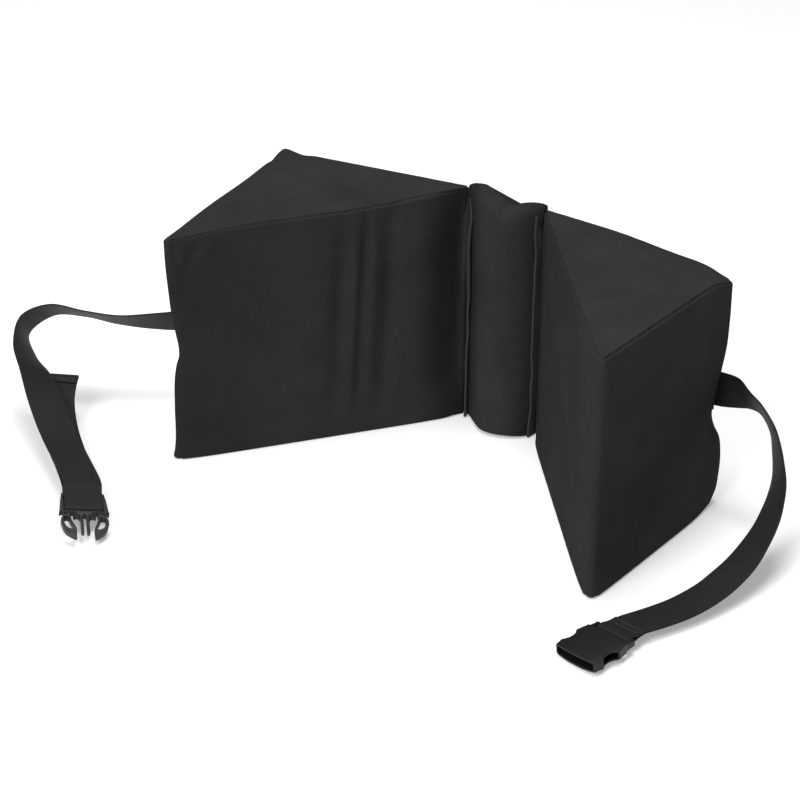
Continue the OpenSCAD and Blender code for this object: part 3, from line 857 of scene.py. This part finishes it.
def join_rows(name, rows, mat):
    V, Fc = [], []
    for v, f in rows:
        k = len(V)
        V += list(v)
        Fc += [tuple(i + k for i in q) for q in f]
    o = make_mesh(name, np.array(V), Fc, mat, np.array(V)[:, :2])
    bm = bmesh.new()
    bm.from_mesh(o.data)
    bmesh.ops.recalc_face_normals(bm, faces=bm.faces)
    bm.to_mesh(o.data)
    bm.free()
    return o


def lock_creases(q):
    x, y, _ = ((q - MO) @ MR).T
    sign = 1 if frames(smooth_path(LEFT[-6:-2], 0, 4), smooth_path(LEFT[-6:-2], 1, 4))[2][4] @ MR[:, 2] > 0 else -1
    return sign * 0.34 * sstep(-7, 0, x) * (1 - sstep(17, 20, x)) * (np.sin(2 * math.pi * (x + 0.17 * y) / 4.4) + 0.4 * np.sin(2 * math.pi * (x + 0.31 * y) / 7.1 + 1.0)) * (1 - 0.7 * (np.abs(y) > 17))


lstrap, lp, llen = band("left_strap_webbing", LEFT, 16, crease=lock_creases)
rstrap, rp, rlen = band("right_strap_webbing", RIGHT, 8)
ltail, tp, tlen = band("left_strap_tail_webbing", TAIL, 8)
print("strap lengths mm", round(llen, 1), round(rlen, 1), "tail", round(tlen, 1))
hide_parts("left_strap")
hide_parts("right_strap")
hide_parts("left_strap_tail")

# folded and sewn hem at the tail's end
tw = smooth_path(TAIL, 1, 8)
tt_, ts_, tn_ = frames(tp, tw)
hem_n = tn_[-1] if tn_[-1][2] > 0 else -tn_[-1]
cumt = np.concatenate([[0], np.cumsum(np.linalg.norm(np.diff(tp, axis=0), axis=1))])
sel = np.where(cumt > cumt[-1] - 13.5)[0]
hp = tp[sel] + np.array([hem_n * (1.75 if i < len(sel) - 1 else 0.9) for i in range(len(sel))])
hem, _, _ = band("tail_hem_webbing", None, 8, p=hp, w=tw[sel])
k0 = sel[0]
row = stitches("s", hp[1] - ts_[k0 + 1] * 16 + hem_n * 0.9, hp[1] + ts_[k0 + 1] * 16 + hem_n * 0.9, hem_n, 11)
row2 = stitches("s", hp[2] - ts_[k0 + 2] * 16 + hem_n * 0.9, hp[2] + ts_[k0 + 2] * 16 + hem_n * 0.9, hem_n, 11)
hem_st = join_rows("tail_hem_stitches", [row, row2], M_THREAD)
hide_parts("tail_hem_stitching")

# sewn return of the right strap round the bar, in the female half's own directions
lp_ = [(-28, -1.7), (-21, -1.6), (-14, -1.8), (-9, -2.7), (-5, -3.35), (-2, -3.5), (0, -3.4), (1.7, -2.95), (2.95, -1.7), (3.4, 0), (2.95, 1.7), (1.7, 2.95),
       (0, 3.4), (-3, 3.2), (-7, 2.2), (-11, 1.0), (-15, 0.35), (-19, 0.15), (-22.5, 0.1)]
loop_pts = np.array([fpt([x, 0, z]) for x, z in lp_])
loop_w = np.array([FW] * len(lp_))
route_l = [(a, b) for a, b in zip(loop_pts, loop_w)]
loop, _, _ = band("right_strap_return", route_l, 4, ww=37.2)
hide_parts("right_strap_loop")
zn = FR @ np.array([0, 0, 1.0])
rows = []
for x in (-20, -13.5):
    rows.append(stitches("s", fpt([x, -16, 1.05]), fpt([x, 16, 1.05 if x < -18 else 1.35]), zn, 11))
loop_st = join_rows("return_stitches", rows, M_THREAD)
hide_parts("loop_stitching")

for o, b, sl in ((lstrap, "left_wedge", "webbing"), (ltail, "left_wedge", "webbing"), (hem, "left_wedge", "webbing"), (hem_st, "left_wedge", "thread"),
                 (rstrap, "right_wedge", "webbing"), (loop, "right_wedge", "webbing"), (loop_st, "right_wedge", "thread")):
    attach(o, b)


def finish_node(name, mat, slot=None):
    o = nodes[name]
    o.data.materials.clear()
    o.data.materials.append(mat)
    return o


# patches under the straps' sewn ends, on the back faces
for s, sg in (("left", 1), ("right", -1)):
    ub, nb = np.array([-math.cos(SPLAY), -math.sin(SPLAY)]), np.array([-math.sin(SPLAY), math.cos(SPLAY)])
    rowsz = np.linspace(99, 149, 12)
    cols = np.linspace(189, 209, 8)
    V = []
    for lift in (1.3, -0.4):
        for z in rowsz:
            for q in cols:
                p = C0 + ub * q + nb * lift
                V.append([p[0] * sg, p[1], z])
    nr, nc = len(rowsz), len(cols)
    Fc = []
    for i in range(nr - 1):
        for j in range(nc - 1):
            a_ = i * nc + j
            Fc += [(a_, a_ + 1, a_ + nc + 1, a_ + nc), tuple(k + nr * nc for k in (a_, a_ + nc, a_ + nc + 1, a_ + 1))]
    ring_ = [j for j in range(nc)] + [i * nc + nc - 1 for i in range(1, nr)] + [(nr - 1) * nc + j for j in range(nc - 2, -1, -1)] + [i * nc for i in range(nr - 2, 0, -1)]
    for k in range(len(ring_)):
        a_, b_ = ring_[k], ring_[(k + 1) % len(ring_)]
        Fc.append((a_, a_ + nr * nc, b_ + nr * nc, b_))
    patch = make_mesh(f"{s}_strap_patch", np.array(V), Fc, M_WEB, np.array(V)[:, [0, 2]], smooth=False)
    bm = bmesh.new()
    bm.from_mesh(patch.data)
    bmesh.ops.recalc_face_normals(bm, faces=bm.faces)
    bm.to_mesh(patch.data)
    bm.free()
    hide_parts(f"{s}_strap_anchor")
    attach(patch, f"{s}_wedge")
for nme in ("left_zip_tape", "right_zip_tape"):
    finish_node(nme, M_TAPE)
# coil teeth of the zips: two rows of small rounded bars that mesh along the middle
for s, sg in (("left", 1), ("right", -1)):
    ub, nb = np.array([-math.cos(SPLAY), -math.sin(SPLAY)]), np.array([-math.sin(SPLAY), math.cos(SPLAY)])
    V, Fc = [], []
    count = 114
    for i in range(count):
        for row_ in (-1, 1):
            h = 29.4 + 1.43 * i + (0.36 if row_ > 0 else -0.36)
            base_i = len(V)
            ks, ns = 6, 8
            for a_ in range(ks + 1):
                f_ = -1 + 2 * a_ / ks
                zc = 36.1 + row_ * (1.05 + 1.35 * f_)
                rr = 0.34 + 0.10 * math.cos(math.pi * f_ / 2)
                for b_ in range(ns):
                    an = 2 * math.pi * b_ / ns
                    p = C0 + ub * (h + rr * math.cos(an)) + nb * (1.25 + 0.62 * math.sin(an) * (0.75 + 0.25 * math.cos(math.pi * f_ / 2)))
                    V.append([p[0] * sg, p[1], zc])
            for a_ in range(ks):
                for b_ in range(ns):
                    e_ = (b_ + 1) % ns
                    Fc.append((base_i + a_ * ns + b_, base_i + a_ * ns + e_, base_i + (a_ + 1) * ns + e_, base_i + (a_ + 1) * ns + b_))
            Fc.append(tuple(base_i + b_ for b_ in range(ns))[::-1])
            Fc.append(tuple(base_i + ks * ns + b_ for b_ in range(ns)))
    teeth = make_mesh(f"{s}_zip_coil_teeth", np.array(V), Fc, M_TEETH, np.array(V)[:, [0, 2]])
    bm = bmesh.new()
    bm.from_mesh(teeth.data)
    bmesh.ops.recalc_face_normals(bm, faces=bm.faces)
    bm.to_mesh(teeth.data)
    bm.free()
    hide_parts(f"{s}_zip_teeth")
    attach(teeth, f"{s}_wedge")
for nme in ("left_zip_slider", "right_zip_slider", "left_zip_pull", "right_zip_pull"):
    finish_node(nme, M_METAL)


def plate(name, outlines, half, edge):
    """closed outlines (mm, the buckle's x and y) made into a rounded plate; the outlines inside the first are holes"""
    cu = bpy.data.curves.new(name, "CURVE")
    cu.dimensions, cu.fill_mode = "2D", "BOTH"
    cu.extrude, cu.bevel_depth, cu.bevel_resolution, cu.offset = (half - edge) * MM, edge * MM, 3, -edge * MM
    for pts in outlines:
        sp = cu.splines.new("BEZIER")
        sp.bezier_points.add(len(pts) - 1)
        sp.use_cyclic_u, sp.resolution_u = True, 5
        for q, (x, y) in zip(sp.bezier_points, pts):
            q.co = (x * MM, y * MM, 0)
            q.handle_left_type = q.handle_right_type = "AUTO"
    o = bpy.data.objects.new(name, cu)
    sc.collection.objects.link(o)
    dg = bpy.context.evaluated_depsgraph_get()
    me = bpy.data.meshes.new_from_object(o.evaluated_get(dg))
    bpy.data.objects.remove(o)
    bm = bmesh.new()
    bm.from_mesh(me)
    bmesh.ops.remove_doubles(bm, verts=bm.verts, dist=1e-6)
    bmesh.ops.recalc_face_normals(bm, faces=bm.faces)
    bm.to_mesh(me)
    bm.free()
    return me


def darken_webs(me, origin, R):
    """painted shade: the thin webs get the darker plastic, a tuned choice so that they read as shaded recesses"""
    me.materials.append(M_PLASTIC)
    k = len(me.polygons)
    c, nrm = np.zeros(k * 3), np.zeros(k * 3)
    me.polygons.foreach_get("center", c)
    me.polygons.foreach_get("normal", nrm)
    c = (c.reshape(-1, 3) / MM - origin) @ R
    low = (np.abs(c[:, 2]) < 1.6) & (np.abs(nrm.reshape(-1, 3) @ R[:, 2]) > 0.6) & (c[:, 0] > 27.2) & (c[:, 0] < 39.5)
    me.polygons.foreach_set("material_index", low.astype(np.int32))


def moulded(name, node, origin, R, voxel, shape=None, smooth=7, body=None, webs=(), mat=None):
    """the node's own shape as a moulding: edges rounded and faces gently crowned, in the buckle's own directions"""
    src = nodes[node]
    me = src.data.copy()
    o = bpy.data.objects.new(name, me)
    sc.collection.objects.link(o)
    me.transform(src.matrix_world)
    if webs:
        bm = bmesh.new()
        bm.from_mesh(me)
        for pts in webs:
            w_ = plate(name + "_web", [pts], 1.1, 0.3)
            co = np.zeros(len(w_.vertices) * 3)
            w_.vertices.foreach_get("co", co)
            w_.vertices.foreach_set("co", (((co.reshape(-1, 3) / MM) @ R.T + origin) * MM).ravel())
            bm.from_mesh(w_)
            bpy.data.meshes.remove(w_)
        bm.to_mesh(me)
        bm.free()
    r = o.modifiers.new("r", "REMESH")
    r.mode, r.voxel_size, r.adaptivity = "VOXEL", voxel * MM, 0.0
    s = o.modifiers.new("s", "SMOOTH")
    s.factor, s.iterations = 0.5, smooth
    dg = bpy.context.evaluated_depsgraph_get()
    out = bpy.data.meshes.new_from_object(o.evaluated_get(dg))
    if shape is not None:
        co = np.zeros(len(out.vertices) * 3)
        out.vertices.foreach_get("co", co)
        q = (co.reshape(-1, 3) / MM - origin) @ R
        q = shape(q)
        out.vertices.foreach_set("co", ((q @ R.T + origin) * MM).ravel())
    o.modifiers.clear()
    o.data = out
    out.name = name
    out.materials.clear()
    out.materials.append(mat or M_PLASTIC)
    if webs:
        darken_webs(out, origin, R)
    out.polygons.foreach_set("use_smooth", np.ones(len(out.polygons), bool))
    out.update()
    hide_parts(node)
    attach(o, body)
    return o


def female_shape(q):
    x, y, z = q[:, 0], q[:, 1], q[:, 2]
    ey = np.clip(np.abs(y) / 26.6, 0, 1)
    mouth = sstep(30, 52, x)
    z2 = z * (1 - 0.26 * ey ** 4) * (1 + 0.07 * (1 - ey ** 2))
    y2 = y * (1 - 0.055 * mouth ** 2)
    x2 = x + mouth * 2.2 * (0.45 - ey ** 2.2)
    y2 = y2 + np.sign(y) * 0.9 * bell(x, 14, 7) * ey ** 3
    z2 = z2 * (1 - 0.18 * (1 - sstep(-3, 9, x)) * (np.abs(y) > 20.5))
    return np.column_stack([x2, y2, z2])


def male_shape(q):
    x, y, z = q[:, 0], q[:, 1], q[:, 2]
    ey = np.clip(np.abs(y) / 25, 0, 1)
    z2 = z * (1 - 0.16 * ey ** 5)
    # the front slot sits close behind the front bar; the corners beside it are drawn out to points
    x2 = np.interp(x, [-7, -0.6, 5, 13.6, 18, 27, 70], [-2.4, 2.6, 6.2, 21.2, 24.9, 26.6, 70])
    corner = sstep(21.8, 24.2, np.abs(y)) * bell(x, 25.2, 3.2)
    y2 = y - np.sign(y) * 1.5 * sstep(19.9, 22.6, np.abs(y)) * (1 - sstep(-2, 15, x))
    return np.column_stack([x2 + 2.2 * corner, y2 * (1 + 0.02 * corner), z2])


shell = moulded("female_buckle_moulding", "female_buckle_shell", FO, FR, 0.42, female_shape, 6, "female_buckle")
male_webs = [[(25.5, -12.0), (25.5, 12.0), (31.0, 11.2), (35.6, 10.2), (34.2, 8.4), (34.6, 6.6), (37.2, 4.6), (34.6, 3.2), (33.4, 0.0), (34.6, -3.2), (37.2, -4.6), (34.6, -6.6), (34.2, -8.4), (35.6, -10.2), (31.0, -11.2)]]
mframe = moulded("male_buckle_moulding", "male_buckle_frame", MO, MR, 0.34, male_shape, 4, "left_wedge", male_webs, M_MALE)


def spring_arm(name, node, sign, body):
    """outer blade, hook and the thin inner strut, with the opening between them and a thin web near the root"""
    outer = [(27.6, 12.9), (27.7, 16.4), (30.0, 18.9), (33.0, 22.2), (36.5, 24.1), (41, 24.6), (46, 23.8), (52, 22.2), (57, 19.6), (61, 15.6), (64.0, 11.4),
             (64.7, 9.6), (62.0, 9.3), (56.5, 9.2), (52.0, 9.1), (49.4, 9.5), (46.0, 10.6), (42, 12.2), (38, 13.4), (32, 13.3)]
    hole = [(33.2, 16.3), (33.4, 18.6), (36.0, 20.7), (40, 21.2), (44.5, 20.6), (48.4, 18.7), (51.0, 15.6), (51.4, 12.8), (49.6, 11.7), (46.6, 12.9),
            (43.0, 14.8), (39, 16.0), (35.5, 16.3)]
    web = [(30.6, 14.6), (31.4, 18.6), (35.0, 21.8), (38.6, 22.0), (37.2, 18.6), (38.8, 14.8), (34.0, 14.4)]
    bm = bmesh.new()
    for outlines, half, edge in (((outer, hole), 2.75, 0.8), ((web,), 1.0, 0.3)):
        me = plate(name, [[(x, y * sign) for x, y in pts] for pts in outlines], half, edge)
        bm.from_mesh(me)
        bpy.data.meshes.remove(me)
    me = bpy.data.meshes.new(name)
    bm.to_mesh(me)
    bm.free()
    co = np.zeros(len(me.vertices) * 3)
    me.vertices.foreach_get("co", co)
    q = co.reshape(-1, 3) / MM
    q[:, 2] *= 1 - 0.25 * sstep(50, 66, q[:, 0])
    q[:, 1] *= 1 - 0.05 * sstep(28, 40, q[:, 0])
    q[:, 0] = 27 + (q[:, 0] - 27) * 0.965
    me.vertices.foreach_set("co", ((q @ MR.T + MO) * MM).ravel())
    me.materials.clear()
    me.materials.append(M_MALE)
    o = bpy.data.objects.new(name, me)
    sc.collection.objects.link(o)
    r = o.modifiers.new("r", "REMESH")
    r.mode, r.voxel_size, r.adaptivity = "VOXEL", 0.3 * MM, 0.0
    s_ = o.modifiers.new("s", "SMOOTH")
    s_.factor, s_.iterations = 0.5, 3
    dg = bpy.context.evaluated_depsgraph_get()
    out = bpy.data.meshes.new_from_object(o.evaluated_get(dg))
    o.modifiers.clear()
    o.data = out
    out.name = name
    out.materials.clear()
    out.materials.append(M_MALE)
    darken_webs(out, MO, MR)
    out.polygons.foreach_set("use_smooth", np.ones(len(out.polygons), bool))
    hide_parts(node)
    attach(o, body)
    return o


def side_of(node):
    lo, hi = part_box(node)
    c = (np.array([(a + b) / 2 for a, b in zip(lo, hi)]) / MM - MO) @ MR
    return 1 if c[1] > 0 else -1


marm_l = spring_arm("male_arm_left_moulding", "male_buckle_left_arm", side_of("male_buckle_left_arm"), "male_left_arm")
marm_r = spring_arm("male_arm_right_moulding", "male_buckle_right_arm", side_of("male_buckle_right_arm"), "male_right_arm")

# ------------------------------------------------------------------ floor
fl = make_mesh("floor", [(-9000, -9000, 0), (9000, -9000, 0), (9000, 9000, 0), (-9000, 9000, 0)], [(0, 1, 2, 3)], floor_m.m, smooth=False)
